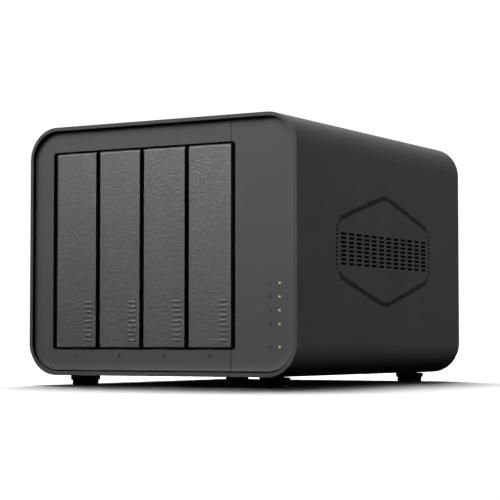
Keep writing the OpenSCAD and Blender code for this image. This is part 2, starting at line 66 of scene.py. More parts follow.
HANDLES = {n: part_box(f"tray_handle_{n}") for n in BAYS}
FACE_Y = HANDLES[1][0][1]
PANEL_BACK_Y = FACE_Y + 2.2 * MM
PANEL_MARGIN = WALL + 0.25 * MM
OPENING_X = (HANDLES[1][0][0] - 2.97 * MM, HANDLES[4][1][0] + 2.77 * MM)
OPENING_Z = (HANDLES[1][0][2] - 0.9 * MM, HANDLES[1][1][2] + 1.1 * MM)
FOOT_LO, FOOT_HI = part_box("foot_front_right")
FOOT_X, FOOT_Y = (FOOT_LO[0] + FOOT_HI[0]) / 2, -(FOOT_LO[1] + FOOT_HI[1]) / 2
REAR_SCREW_SPOTS = ((-80.4, 63.4), (-80.4, -63.4), (42, 66), (42, -66))
REAR_SCREWS = [(x * MM, MID_Z + rise * MM) for x, rise in REAR_SCREW_SPOTS]
FAN_X, FAN_GAP = -12.6 * MM, 52.5 * MM
FAN_SCREWS = [(FAN_X + sx * FAN_GAP, MID_Z + sz * FAN_GAP) for sx in (-1, 1) for sz in (-1, 1)]
LAMPS_LO, LAMPS_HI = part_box("status_lamps")
LAMP_X = (LAMPS_LO[0] + LAMPS_HI[0]) / 2
LAMP_R = (LAMPS_HI[0] - LAMPS_LO[0]) / 2
LAMP_Z = [SLEEVE_LO[2] + h * MM for h in (51.7, 44.2, 36.7, 29.2, 16.7)]
SLIVER = 0.01 * MM
LIP = 0.12 * MM


# ---------------------------------------------------------------- node materials

def new_material(name, colour, roughness, metallic=0.0, specular=0.5):
    """A material with its shader."""
    mat = bpy.data.materials.new(name)
    mat.use_nodes = True
    shader = mat.node_tree.nodes["Principled BSDF"]
    shader.inputs["Base Color"].default_value = (*colour, 1)
    shader.inputs["Roughness"].default_value = roughness
    shader.inputs["Metallic"].default_value = metallic
    shader.inputs["Specular IOR Level"].default_value = specular
    return mat, shader


def add_node(mat, kind, inputs=None, **settings):
    """Adds a node, with its settings and its unlinked input values."""
    node = mat.node_tree.nodes.new(kind)
    for key, value in settings.items():
        setattr(node, key, value)
    for key, value in (inputs or {}).items():
        node.inputs[key].default_value = value
    return node


def link(mat, source, target):
    mat.node_tree.links.new(source, target)


def place(mat, scale=(1, 1, 1)):
    """The piece's own coordinates, stretched by scale."""
    coords = add_node(mat, "ShaderNodeTexCoord")
    mapping = add_node(mat, "ShaderNodeMapping", {"Scale": scale})
    link(mat, coords.outputs["Object"], mapping.inputs["Vector"])
    return mapping.outputs["Vector"]


def mottle(mat, shader, colour, where, scale, spread):
    """Colour that drifts a little from place to place."""
    noise = add_node(mat, "ShaderNodeTexNoise", {"Scale": scale, "Detail": 4.0, "Roughness": 0.6})
    ramp = add_node(mat, "ShaderNodeValToRGB")
    ramp.color_ramp.elements[0].position = 0.3
    ramp.color_ramp.elements[1].position = 0.7
    ramp.color_ramp.elements[0].color = (*[c * (1 - spread) for c in colour], 1)
    ramp.color_ramp.elements[1].color = (*[c * (1 + spread) for c in colour], 1)
    link(mat, where, noise.inputs["Vector"])
    link(mat, noise.outputs["Fac"], ramp.inputs["Fac"])
    link(mat, ramp.outputs["Color"], shader.inputs["Base Color"])
    return noise


def rough_range(mat, shader, source, low, high):
    """Roughness that follows a texture between two values."""
    span = add_node(mat, "ShaderNodeMapRange", {"To Min": low, "To Max": high})
    link(mat, source, span.inputs["Value"])
    link(mat, span.outputs["Result"], shader.inputs["Roughness"])


def bump(mat, shader, height, strength, distance):
    """Relief from a texture."""
    node = add_node(mat, "ShaderNodeBump", {"Strength": strength, "Distance": distance})
    link(mat, height, node.inputs["Height"])
    link(mat, node.outputs["Normal"], shader.inputs["Normal"])


def textured_plastic(name, colour, roughness=0.55, grain=2200, strength=0.25, specular=0.35):
    """Moulded plastic with a fine even texture."""
    mat, shader = new_material(name, colour, roughness, specular=specular)
    where = place(mat)
    mottle(mat, shader, colour, where, 60, 0.05)
    fine = add_node(mat, "ShaderNodeTexNoise", {"Scale": grain, "Detail": 3.0, "Roughness": 0.55})
    link(mat, where, fine.inputs["Vector"])
    rough_range(mat, shader, fine.outputs["Fac"], roughness - 0.06, roughness + 0.06)
    bump(mat, shader, fine.outputs["Fac"], strength, 0.08 * MM)
    return mat


def grained_plastic(name, colour, roughness=0.45, specular=0.5):
    """Plastic with a leather-like grain, as on the tray fronts."""
    mat, shader = new_material(name, colour, roughness, specular=specular)
    where = place(mat, (1.0, 1.0, 0.75))
    wrinkles = mottle(mat, shader, colour, where, 450, 0.12)
    warp = add_node(mat, "ShaderNodeTexNoise", {"Scale": 500.0, "Detail": 2.0})
    cells = add_node(mat, "ShaderNodeTexVoronoi", {"Scale": 750.0}, feature="DISTANCE_TO_EDGE")
    # a vector Mix takes its two vectors at inputs 4 and 5, and gives the result at output 1
    bend = add_node(mat, "ShaderNodeMix", {"Factor": 0.002}, data_type="VECTOR")
    link(mat, where, warp.inputs["Vector"])
    link(mat, where, bend.inputs[4])
    link(mat, warp.outputs["Color"], bend.inputs[5])
    link(mat, bend.outputs[1], cells.inputs["Vector"])
    crease = add_node(mat, "ShaderNodeMapRange", {"From Max": 0.12})
    link(mat, cells.outputs["Distance"], crease.inputs["Value"])
    rough_range(mat, shader, crease.outputs["Result"], roughness + 0.1, roughness - 0.05)
    height = add_node(mat, "ShaderNodeMath", {1: 3.0}, operation="MULTIPLY_ADD")
    link(mat, wrinkles.outputs["Fac"], height.inputs[0])
    link(mat, crease.outputs["Result"], height.inputs[2])
    bump(mat, shader, height.outputs["Value"], 0.6, 0.08 * MM)
    return mat


def metal(name, colour, roughness, stretch=(1, 1, 1), scale=400, strength=0.08):
    """Metal with a drawn, brushed or cast surface, by how far its noise is stretched."""
    mat, shader = new_material(name, colour, roughness, metallic=1.0)
    noise = add_node(mat, "ShaderNodeTexNoise", {"Scale": scale, "Detail": 5.0, "Roughness": 0.65})
    link(mat, place(mat, stretch), noise.inputs["Vector"])
    rough_range(mat, shader, noise.outputs["Fac"], roughness * 0.75, roughness * 1.25)
    bump(mat, shader, noise.outputs["Fac"], strength, 0.05 * MM)
    return mat


def circuit_green(name):
    """Solder mask over copper tracks."""
    mat, shader = new_material(name, (0.01, 0.09, 0.045), 0.3, specular=0.5)
    where = place(mat)
    tracks = add_node(mat, "ShaderNodeTexBrick", {
        "Color1": (0.012, 0.11, 0.05, 1), "Color2": (0.006, 0.07, 0.035, 1), "Mortar": (0.02, 0.17, 0.07, 1),
        "Scale": 120.0, "Mortar Size": 0.012, "Brick Width": 0.9, "Row Height": 0.22})
    turn = add_node(mat, "ShaderNodeMapping", {"Rotation": (math.pi / 2, 0, math.pi / 2)})
    link(mat, where, turn.inputs["Vector"])
    link(mat, turn.outputs["Vector"], tracks.inputs["Vector"])
    link(mat, tracks.outputs["Color"], shader.inputs["Base Color"])
    bump(mat, shader, tracks.outputs["Fac"], 0.2, 0.03 * MM)
    return mat


def glowing(name, colour, strength):
    """A lit lamp: an even glow from a dark lens."""
    mat, shader = new_material(name, [0.08 * c for c in colour], 0.35)
    noise = add_node(mat, "ShaderNodeTexNoise", {"Scale": 900.0})
    link(mat, place(mat), noise.inputs["Vector"])
    rough_range(mat, shader, noise.outputs["Fac"], 0.3, 0.4)
    shader.inputs["Emission Color"].default_value = (*colour, 1)
    shader.inputs["Emission Strength"].default_value = strength
    return mat


SHELL = textured_plastic("shell_textured_plastic", (0.030, 0.0303, 0.031), roughness=0.8, specular=0.04)
PANEL = textured_plastic("panel_textured_plastic", (0.0265, 0.0268, 0.0274), roughness=0.78, grain=2600,
                         specular=0.15)
TRAY_FRONT = grained_plastic("tray_front_grained_plastic", (0.020, 0.0202, 0.0206))
INNER = textured_plastic("inner_black_plastic", (0.010, 0.010, 0.011), roughness=0.6)
RUBBER = textured_plastic("foot_rubber", (0.010, 0.010, 0.010), roughness=0.8, grain=1500, specular=0.2)
PRINT = textured_plastic("printed_mark", (0.004, 0.004, 0.004), roughness=0.8, grain=3000, strength=0.05,
                         specular=0.02)
LAMP = glowing("lit_lamp", (0.31, 0.325, 0.16), 1.0)
STEEL = metal("galvanised_steel", (0.50, 0.51, 0.53), 0.42, scale=250)
PORT_METAL = metal("nickel_plate", (0.62, 0.61, 0.58), 0.28, stretch=(1, 0.2, 1))
ALUMINIUM = metal("cooler_aluminium", (0.62, 0.63, 0.65), 0.38, stretch=(1, 0.1, 1))
SPRING_STEEL = metal("spring_steel", (0.36, 0.37, 0.39), 0.3, stretch=(1, 4, 1))
SCREW_METAL = metal("zinc_plated_steel", (0.42, 0.43, 0.45), 0.32)
BRASS = metal("turned_brass", (0.68, 0.5, 0.2), 0.3, stretch=(0.2, 1, 1))
COPPER = metal("wound_copper", (0.55, 0.24, 0.09), 0.35, stretch=(1, 8, 1))
GOLD = metal("gold_contacts", (0.83, 0.62, 0.25), 0.25)
BOARD = circuit_green("solder_mask_board")
REAR = textured_plastic("rear_powder_coat", (0.020, 0.0205, 0.022), roughness=0.6, grain=1700, strength=0.4)
SOCKET = textured_plastic("socket_plastic", (0.012, 0.012, 0.013), roughness=0.45, grain=1800, strength=0.1)
CHIP = textured_plastic("chip_epoxy", (0.012, 0.012, 0.013), roughness=0.5, grain=1500, strength=0.15)
CERAMIC = textured_plastic("ceramic_parts", (0.25, 0.17, 0.10), roughness=0.45, strength=0.1)
FAN_PLASTIC = textured_plastic("fan_plastic", (0.014, 0.014, 0.015), roughness=0.48, grain=1200,
                               strength=0.12)
LENS = textured_plastic("light_lens", (0.30, 0.42, 0.16), roughness=0.35, strength=0.05)
WHITE_PLASTIC = textured_plastic("plunger_plastic", (0.55, 0.56, 0.57), roughness=0.45, strength=0.1)


# ---------------------------------------------------------------- mesh helpers

def shade(mesh):
    """Smooth shading that stays sharp at real edges."""
    mesh.shade_smooth()
    mesh.set_sharp_from_angle(angle=EDGE_ANGLE)


def mesh_object(name, bm, material, smooth=True):
    """Turns a bmesh into a shown object with one material."""
    bmesh.ops.recalc_face_normals(bm, faces=bm.faces)
    mesh = bpy.data.meshes.new(name)
    bm.to_mesh(mesh)
    bm.free()
    mesh.materials.append(material)
    if smooth:
        shade(mesh)
    obj = bpy.data.objects.new(name, mesh)
    bpy.context.collection.objects.link(obj)
    return obj


def round_rect(w, h, r, steps=14):
    """Points (x, z) anticlockwise round a rectangle with round corners, centred on 0, 0."""
    corners = ((1, 1, 0), (-1, 1, 90), (-1, -1, 180), (1, -1, 270))
    points = []
    for sx, sz, start in corners:
        for k in range(steps + 1):
            a = math.radians(start + 90 * k / steps)
            points.append((sx * (w / 2 - r) + r * math.cos(a), sz * (h / 2 - r) + r * math.sin(a)))
    return points


def arc(cx, cy, rx, ry, start, end, steps=5):
    """Points on an ellipse's arc, from one angle to another in degrees."""
    angles = [math.radians(start + (end - start) * k / steps) for k in range(steps + 1)]
    return [(cx + rx * math.cos(a), cy + ry * math.sin(a)) for a in angles]


def bridge(bm, loops, closed):
    """Quads between each loop of vertices and the next, and from the last to the first if closed."""
    pairs = list(zip(loops, loops[1:]))
    if closed:
        pairs.append((loops[-1], loops[0]))
    for a, b in pairs:
        for i in range(len(a)):
            j = (i + 1) % len(a)
            bm.faces.new((a[i], a[j], b[j], b[i]))


def skin(bm, loops):
    """A closed solid from a row of loops: quads between them and a face at each end."""
    bridge(bm, loops, closed=False)
    bm.faces.new(loops[0])
    bm.faces.new(loops[-1])


def sleeve_loop(bm, margin, y, steps=14):
    """A loop round the sleeve's outline, margin inside it."""
    outline = round_rect(SLEEVE_W - 2 * margin, SLEEVE_H - 2 * margin, CORNER_R - margin, steps)
    return [bm.verts.new((x, y, MID_Z + z)) for x, z in outline]


def box_into(bm, lo, hi):
    """Adds a block to a bmesh."""
    size = [hi[i] - lo[i] for i in range(3)]
    centre = [(hi[i] + lo[i]) / 2 for i in range(3)]
    matrix = Matrix.Translation(centre) @ Matrix.Diagonal((*size, 1))
    return bmesh.ops.create_cube(bm, size=1, matrix=matrix)["verts"]


def prism_into(bm, points, axis, low, high, flare=0.0, flare_depth=0.0):
    """Adds a closed prism of a flat outline, along x or y; its low end may flare outwards."""
    centre = [sum(p[i] for p in points) / len(points) for i in range(2)]

    def loop(at, grow):
        verts = []
        for p in points:
            out = Vector((p[0] - centre[0], p[1] - centre[1]))
            q = Vector(p) + (out.normalized() * grow if grow else Vector((0, 0)))
            verts.append(bm.verts.new((at, q[0], q[1]) if axis == "x" else (q[0], at, q[1])))
        return verts

    loops = [loop(low, flare)]
    if flare:
        loops.append(loop(low + flare_depth, 0))
    loops.append(loop(high, 0))
    skin(bm, loops)


def lathe(bm, profile, axis, centre, steps=32):
    """Turns a profile of (place along the axis, radius) into a closed round solid."""
    loops = []
    for along, r in profile:
        loop = []
        for k in range(steps):
            c, s = r * math.cos(math.tau * k / steps), r * math.sin(math.tau * k / steps)
            offset = {"x": (along, c, s), "y": (c, along, s), "z": (c, s, along)}[axis]
            loop.append(bm.verts.new([centre[i] + offset[i] for i in range(3)]))
        loops.append(loop)
    skin(bm, loops)


def split_solids(bm):
    """The separate closed solids of a bmesh, each as its own bmesh, in the order of their vertices."""
    seen = set()
    parts = []
    for start in bm.verts:
        if start in seen:
            continue
        seen.add(start)
        stack, found = [start], [start]
        while stack:
            vert = stack.pop()
            for edge in vert.link_edges:
                other = edge.other_vert(vert)
                if other not in seen:
                    seen.add(other)
                    stack.append(other)
                    found.append(other)
        part = bmesh.new()
        copies = {vert: part.verts.new(vert.co) for vert in found}
        # a dict keeps its order from run to run, which a set doesn't
        for face in dict.fromkeys(f for vert in found for f in vert.link_faces):
            part.faces.new([copies[vert] for vert in face.verts])
        parts.append(part)
    bm.free()
    return parts


def circle_points(cx, cy, r, steps):
    """Points anticlockwise round a circle."""
    angles = [math.tau * k / steps for k in range(steps)]
    return [(cx + r * math.cos(a), cy + r * math.sin(a)) for a in angles]


def cut(obj, cutter_bm, operation="DIFFERENCE"):
    """Applies a boolean with a bmesh of closed solids, and keeps the smooth shading."""
    bmesh.ops.recalc_face_normals(cutter_bm, faces=cutter_bm.faces)
    cutter_mesh = bpy.data.meshes.new("cutter")
    cutter_bm.to_mesh(cutter_mesh)
    cutter_bm.free()
    cutter = bpy.data.objects.new("cutter", cutter_mesh)
    bpy.context.collection.objects.link(cutter)
    modifier = obj.modifiers.new("cut", "BOOLEAN")
    modifier.operation = operation
    modifier.solver = "MANIFOLD"
    modifier.object = cutter
    apply_modifiers(obj)
    bpy.data.objects.remove(cutter)
    bpy.data.meshes.remove(cutter_mesh)


def apply_modifiers(obj):
    """Bakes an object's modifiers into its mesh and shades it smooth."""
    graph = bpy.context.evaluated_depsgraph_get()
    mesh = bpy.data.meshes.new_from_object(obj.evaluated_get(graph))
    old = obj.data
    obj.modifiers.clear()
    obj.data = mesh
    bpy.data.meshes.remove(old)
    shade(mesh)


def soften(obj, width, segments):
    """Rounds an object's sharp edges and keeps its flats flat."""
    bevel = obj.modifiers.new("soft_edges", "BEVEL")
    bevel.width = width
    bevel.segments = segments
    bevel.limit_method = "ANGLE"
    bevel.angle_limit = EDGE_ANGLE
    flat_faces(obj)


def flat_faces(obj):
    """Shades flat faces flat beside rounded ones."""
    normals = obj.modifiers.new("flat_faces", "WEIGHTED_NORMAL")
    normals.keep_sharp = True


def dress(node, material, edge=0.0, segments=2):
    """Gives a CAD node its material, and soft edges where they can be seen."""
    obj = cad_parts[node]
    obj.data.materials.clear()
    obj.data.materials.append(material)
    if edge:
        weld = obj.modifiers.new("weld", "WELD")
        weld.merge_threshold = 0.002 * MM
        soften(obj, edge, segments)


def clip_at_seam(bm, seam, normal):
    """Cuts a closed mesh off at a plane across x, and closes the cut."""
    geom = bm.verts[:] + bm.edges[:] + bm.faces[:]
    bmesh.ops.bisect_plane(bm, geom=geom, plane_co=(seam, 0, 0), plane_no=(normal, 0, 0), clear_outer=True)
    bmesh.ops.holes_fill(bm, edges=[e for e in bm.edges if e.is_boundary], sides=0)


def ride_and_replace(obj, body, node):
    """Puts a piece on its body, in place of a CAD node."""
    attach(obj, body)
    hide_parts(node)


def tube(bm, path, radius, sides=8, closed=False):
    """A round bar along a path of points."""
    normal = Vector((0, 0, 1))
    loops = []
    count = len(path)
    for k, point in enumerate(path):
        ahead = path[(k + 1) % count] if closed or k < count - 1 else path[k]
        behind = path[k - 1] if closed or k > 0 else path[k]
        along = (ahead - behind).normalized()
        normal = normal - along * normal.dot(along)
        if normal.length < 1e-3:
            normal = along.orthogonal()
        normal.normalize()
        other = along.cross(normal)
        loops.append([bm.verts.new(point + radius * (normal * math.cos(a) + other * math.sin(a)))
                      for a in [math.tau * i / sides for i in range(sides)]])
    bridge(bm, loops, closed)
    if not closed:
        bm.faces.new(loops[0])
        bm.faces.new(loops[-1])


# ---------------------------------------------------------------- camera, floor and light

def add_camera():
    """The photograph's viewpoint: low, from the front right, through a long lens."""
    azimuth = math.radians(30.286)
    pitch = math.radians(3.078)
    data = bpy.data.cameras.new("camera")
    data.lens = 124.2
    data.sensor_width = 36
    data.clip_start = 0.01
    data.clip_end = 100
    camera = bpy.data.objects.new("camera", data)
    camera.location = (0.53898, -0.92796, 0.02498)
    level = math.cos(pitch)
    forward = Vector((-math.sin(azimuth) * level, math.cos(azimuth) * level, math.sin(pitch)))
    camera.rotation_euler = forward.to_track_quat("-Z", "Y").to_euler()
    bpy.context.collection.objects.link(camera)
    bpy.context.scene.camera = camera


def add_floor():
    """A wide pale floor that sends no light back up to the object."""
    colour = (0.94, 0.94, 0.94)
    bm = bmesh.new()
    bmesh.ops.create_circle(bm, cap_ends=True, segments=96, radius=3.2)
    mat, shader = new_material("pale_floor", colour, 0.6, specular=0.1)
    mottle(mat, shader, colour, place(mat), 3, 0.004)
    floor = mesh_object("floor", bm, mat, smooth=False)
    floor.visible_diffuse = False
    floor.visible_glossy = False
    return floor


def add_area(name, location, target, size, power, spread=180, spare=None):
    """A soft box aimed at a target; it may spare one object its light, as a flag on a stand does."""
    data = bpy.data.lights.new(name, "AREA")
    data.shape = "RECTANGLE"
    data.size, data.size_y = size
    data.energy = power
    data.spread = math.radians(spread)
    light = bpy.data.objects.new(name, data)
    light.location = location
    light.rotation_euler = (Vector(target) - Vector(location)).to_track_quat("-Z", "Y").to_euler()
    bpy.context.collection.objects.link(light)
    if spare:
        receivers = bpy.data.collections.new(name + "_receivers")
        receivers.objects.link(spare)
        receivers.collection_objects[0].light_linking.link_state = "EXCLUDE"
        light.light_linking.receiver_collection = receivers


def add_world():
    """White studio walls as the camera sees them, and a softer grey glow as light on the object."""
    world = bpy.data.worlds.new("studio")
    world.use_nodes = True
    nodes, links = world.node_tree.nodes, world.node_tree.links
    background = nodes["Background"]
    background.inputs["Color"].default_value = (1, 1, 1, 1)
    background.inputs["Strength"].default_value = 0.03
    seen = nodes.new("ShaderNodeBackground")
    seen.inputs["Color"].default_value = (1, 1, 1, 1)
    seen.inputs["Strength"].default_value = 1.1
    path = nodes.new("ShaderNodeLightPath")
    mix = nodes.new("ShaderNodeMixShader")
    links.new(path.outputs["Is Camera Ray"], mix.inputs["Fac"])
    links.new(background.outputs["Background"], mix.inputs[1])
    links.new(seen.outputs["Background"], mix.inputs[2])
    links.new(mix.outputs["Shader"], nodes["World Output"].inputs["Surface"])
    bpy.context.scene.world = world


# ---------------------------------------------------------------- sleeve

def vent_holes():
    """One side's perforations, a hexagon round rows of slots, as (y, z, width, height, corner radius)."""
    half_w, half_h, side_h, peak_r = 62.5 * MM, 31.5 * MM, 15.5 * MM, 5 * MM
    slit_pitch, row_pitch, column_pitch = 1.75 * MM, 2.45 * MM, 9.85 * MM
    slope = (half_h - side_h) / (half_w - peak_r)
    holes = []
    for k in range(-33, 34):
        y = k * slit_pitch
        z = half_h - slope * (math.hypot(y, peak_r) - peak_r)
        holes += [(y, MID_Z + side * z, 1.0 * MM, 3.1 * MM, 0.3 * MM) for side in (-1, 1)]
    for k in range(-6, 7):
        z = k * row_pitch
        reach = half_w - 180 * max(0, abs(z) - side_h + 5 * MM) ** 2
        holes += [(side * reach, MID_Z + z, 1.8 * MM, 1.8 * MM, 0.88 * MM) for side in (-1, 1)]
    columns, rows, drop = 12, 8, 0.5 * MM
    for c in range(columns):
        for r in range(rows):
            y = (c - (columns - 1) / 2) * column_pitch
            z = MID_Z + (r - (rows - 1) / 2) * row_pitch - drop
            holes.append((y, z, 6.6 * MM, 1.3 * MM, 0.3 * MM))
    return holes


def pierce(bm, side, holes):
    """Opens holes through the sleeve's flat side wall, each with a flared lip, and keeps the mesh closed."""
    outer_x = side * SLEEVE_W / 2
    inner_x = side * (SLEEVE_W / 2 - WALL)
    lip_x = outer_x - side * LIP
    loops = {outer_x: [], inner_x: []}
    for y, z, w, h, r in holes:
        mouth = round_rect(w + 2 * LIP, h + 2 * LIP, r + LIP, 3)
        lip = [bm.verts.new((outer_x, y + p, z + q)) for p, q in mouth]
        hole = round_rect(w, h, r, 3)
        throat, end = [[bm.verts.new((x, y + p, z + q)) for p, q in hole] for x in (lip_x, inner_x)]
        bridge(bm, [lip, throat, end], closed=False)
        loops[outer_x].append(lip)
        loops[inner_x].append(end)
    for x, rings in loops.items():
        quads = [f for f in bm.faces if len(f.verts) == 4]
        flat = [f for f in quads if all(abs(v.co.x - x) < 1e-6 for v in f.verts)]
        face = max(flat, key=lambda f: f.calc_area())
        rings = [list(face.verts)] + rings
        bm.faces.remove(face)
        fill_between(bm, rings)


def fill_between(bm, rings):
    """Triangles inside the first ring of vertices and outside the others, all in one plane across x."""
    verts, owner, edges = [], [], []
    for n, ring in enumerate(rings):
        first = len(verts)
        verts += ring
        owner += [n] * len(ring)
        edges += [(first + k, first + (k + 1) % len(ring)) for k in range(len(ring))]
    flat = [Vector((v.co.y, v.co.z)) for v in verts]
    _, _, triangles, origins, _, _ = delaunay_2d_cdt(flat, edges, [], 0, 1e-8)
    for triangle in triangles:
        ids = [origins[i][0] for i in triangle]
        owners = {owner[i] for i in ids}
        if len(owners) > 1 or owners == {0}:
            bm.faces.new([verts[i] for i in ids])


def sleeve_half(name, seam, normal):
    """A closed swept wall with rounded rims, cut off at the seam."""
    rim = 0.28 * MM
    profile = []
    for m, y, start in ((rim, FRONT_Y + rim, 270), (rim, BACK_Y - rim, 180),
                        (WALL - rim, BACK_Y - rim, 90), (WALL - rim, FRONT_Y + rim, 0)):
        profile += arc(m, y, rim, rim, start, start - 90)
    bm = bmesh.new()
    bridge(bm, [sleeve_loop(bm, m, y, 20) for m, y in profile], closed=True)
    clip_at_seam(bm, seam, normal)
    return mesh_object(name, bm, SHELL)


def inner_fittings():
    """The main shell's tongue under the seam, its bosses for the rear screws and its bottom ribs."""
    bottom, top = SLEEVE_LO[2] + WALL, SLEEVE_HI[2] - WALL
    seam = SEAM_LEFT
    bite = 0.4 * MM
    boss_r, boss_y = 4.2 * MM, (90 * MM, 103.2 * MM)
    tongue_y, tongue_z = (-98 * MM, 101 * MM), top - 1.5 * MM
    bm = bmesh.new()
    box_into(bm, (seam - 7 * MM, tongue_y[0], tongue_z), (seam - SLIVER, tongue_y[1], top + bite))
    box_into(bm, (seam - 1 * MM, tongue_y[0], tongue_z), (seam + 6 * MM, tongue_y[1], top - 0.3 * MM))
    for x in (-50, 20):
        box_into(bm, (x * MM, -90 * MM, bottom - bite), ((x + 3) * MM, 80 * MM, bottom + 1.1 * MM))
    for x, z in REAR_SCREWS:
        rise = math.copysign(1, z - MID_Z)
        wall_z = top + bite if rise > 0 else bottom - bite
        if x > 0:
            box_into(bm, (x - boss_r, boss_y[0], min(z, wall_z)), (x + boss_r, boss_y[1], max(z, wall_z)))
        lathe(bm, [(boss_y[0], boss_r), (boss_y[1], boss_r)], "y", (x, 0, z))
    return bm


def add_sleeve():
    """Both shells, with the openings for the feet, the fittings inside and the perforated sides."""
    main = sleeve_half("main_shell_body", SEAM_LEFT, 1)
    hole_r, bore_r, slot_half_w = 5.4 * MM, 1.3 * MM, 5.5 * MM
    feet = bmesh.new()
    for y in (-FOOT_Y, FOOT_Y):
        lathe(feet, [(SLEEVE_LO[2] - 1 * MM, hole_r), (SLEEVE_LO[2] + WALL + 0.5 * MM, hole_r)], "z",
              (-FOOT_X, y, 0))
    cut(main, feet)
    for part in split_solids(inner_fittings()):
        cut(main, part, "UNION")
    bores = bmesh.new()
    for x, z in REAR_SCREWS:
        lathe(bores, [(93 * MM, bore_r), (110 * MM, bore_r)], "y", (x, 0, z))
    cut(main, bores)
    cover = sleeve_half("side_cover_body", SEAM_RIGHT, -1)
    slots = bmesh.new()
    for y in (-FOOT_Y, FOOT_Y):
        ends = arc(FOOT_X, y, slot_half_w, slot_half_w, -90, 90, 16)
        outline = ends + [(SEAM_LEFT, y + slot_half_w), (SEAM_LEFT, y - slot_half_w)]
        low, high = [[slots.verts.new((p[0], p[1], z)) for p in outline]
                     for z in (SLEEVE_LO[2] - 1 * MM, SLEEVE_LO[2] + WALL + 1 * MM)]
        skin(slots, [low, high])
    cut(cover, slots)
    for shell, node, body, side in ((main, "main_shell", "chassis", -1),
                                    (cover, "side_cover", "side_cover", 1)):
        bm = bmesh.new()
        bm.from_mesh(shell.data)
        pierce(bm, side, vent_holes())
        bmesh.ops.recalc_face_normals(bm, faces=bm.faces)
        bm.to_mesh(shell.data)
        bm.free()
        shade(shell.data)
        flat_faces(shell)
        ride_and_replace(shell, body, node)


# ---------------------------------------------------------------- front panel

def add_front_panel():
    """The recessed panel: a coved border, parted at the seam, with the bays' opening and lamp holes."""
    cove_w, cove_h, crest, cove_steps = 4.6 * MM, 1.2 * MM, 0.9 * MM, 14
    top = FACE_Y - cove_h
    start = PANEL_MARGIN + crest
    profile = [(PANEL_MARGIN, PANEL_BACK_Y), (PANEL_MARGIN, top + crest)]
    profile += arc(start, top + crest, crest, crest, 180, 270, 4)[1:]
    profile += [(start + cove_w * (1 - math.cos(t)), top + cove_h * math.sin(t))
                for t in [math.radians(90 * k / cove_steps) for k in range(1, cove_steps + 1)]]
    opening_w, opening_h = OPENING_X[1] - OPENING_X[0], OPENING_Z[1] - OPENING_Z[0]
    mid = ((OPENING_X[0] + OPENING_X[1]) / 2, (OPENING_Z[0] + OPENING_Z[1]) / 2)
    cut_from, cut_to = FACE_Y - SLIVER, PANEL_BACK_Y + 1 * MM
    for name, node, seam, normal in (("bay_bezel_body", "bay_bezel", SEAM_LEFT, 1),
                                     ("indicator_panel_body", "indicator_panel", SEAM_RIGHT, -1)):
        bm = bmesh.new()
        loops = [sleeve_loop(bm, m, y, 20) for m, y in profile]
        skin(bm, loops)
        clip_at_seam(bm, seam, normal)
        panel = mesh_object(name, bm, PANEL)
        cutters = bmesh.new()
        outline = [(mid[0] + x, mid[1] + z) for x, z in round_rect(opening_w, opening_h, 2 * MM, 6)]
        prism_into(cutters, outline, "y", cut_from, cut_to, LIP, LIP)
        if node == "indicator_panel":
            for z in LAMP_Z:
                hole = circle_points(LAMP_X, z, LAMP_R + 0.1 * MM, 20)
                prism_into(cutters, hole, "y", cut_from, cut_to, LIP, LIP)
        cut(panel, cutters)
        ride_and_replace(panel, "chassis", node)


def add_mark(name, text, size, x, z, y, body):
    """A raised printed character, centred on x and z."""
    curve = bpy.data.curves.new(name, "FONT")
    curve.body = text
    curve.size = size
    curve.align_x = "CENTER"
    curve.align_y = "CENTER"
    curve.extrude = 0.03 * MM
    curve.offset = 0.08 * MM
    holder = bpy.data.objects.new(name + "_curve", curve)
    bpy.context.collection.objects.link(holder)
    graph = bpy.context.evaluated_depsgraph_get()
    mesh = bpy.data.meshes.new_from_object(holder.evaluated_get(graph))
    bpy.data.objects.remove(holder)
    mesh.transform(Matrix.Translation((x, y, z)) @ Matrix.Rotation(math.pi / 2, 4, "X"))
    mesh.materials.clear()
    mesh.materials.append(PRINT)
    obj = bpy.data.objects.new(name, mesh)
    bpy.context.collection.objects.link(obj)
    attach(obj, body)


def add_power_symbol(x, z, y):
    """The generic power mark: a ring open at the top, with a bar in the gap."""
    r, line, depth = 0.9 * MM, 0.32 * MM, 0.03 * MM
    bm = bmesh.new()
    steps = 24
    angles = [math.radians(125 + 290 * k / steps) for k in range(steps + 1)]
    loops = []
    for a in angles:
        ends = [(r + s * line / 2, t * depth) for s, t in ((-1, -1), (1, -1), (1, 1), (-1, 1))]
        loops.append([bm.verts.new((x + q * math.cos(a), y + d, z + q * math.sin(a))) for q, d in ends])
    skin(bm, loops)
    box_into(bm, (x - line / 2, y - depth, z + 0.15 * MM), (x + line / 2, y + depth, z + 1.15 * MM))
    obj = mesh_object("power_symbol", bm, PRINT, smooth=False)
    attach(obj, "chassis")


def add_marks():
    """Bay numbers under the bays, and lamp labels beside the lamps."""
    bay_z = SLEEVE_LO[2] + 11.6 * MM
    label_x = LAMP_X - 5.7 * MM
    for n in BAYS:
        x = (HANDLES[n][0][0] + HANDLES[n][1][0]) / 2
        add_mark(f"bay_number_{n}", str(n), 3.3 * MM, x, bay_z, FACE_Y, "chassis")
        add_mark(f"lamp_number_{n}", str(n), 3.0 * MM, label_x, LAMP_Z[n - 1], FACE_Y, "chassis")
    add_power_symbol(label_x, LAMP_Z[4], FACE_Y)


# ---------------------------------------------------------------- trays

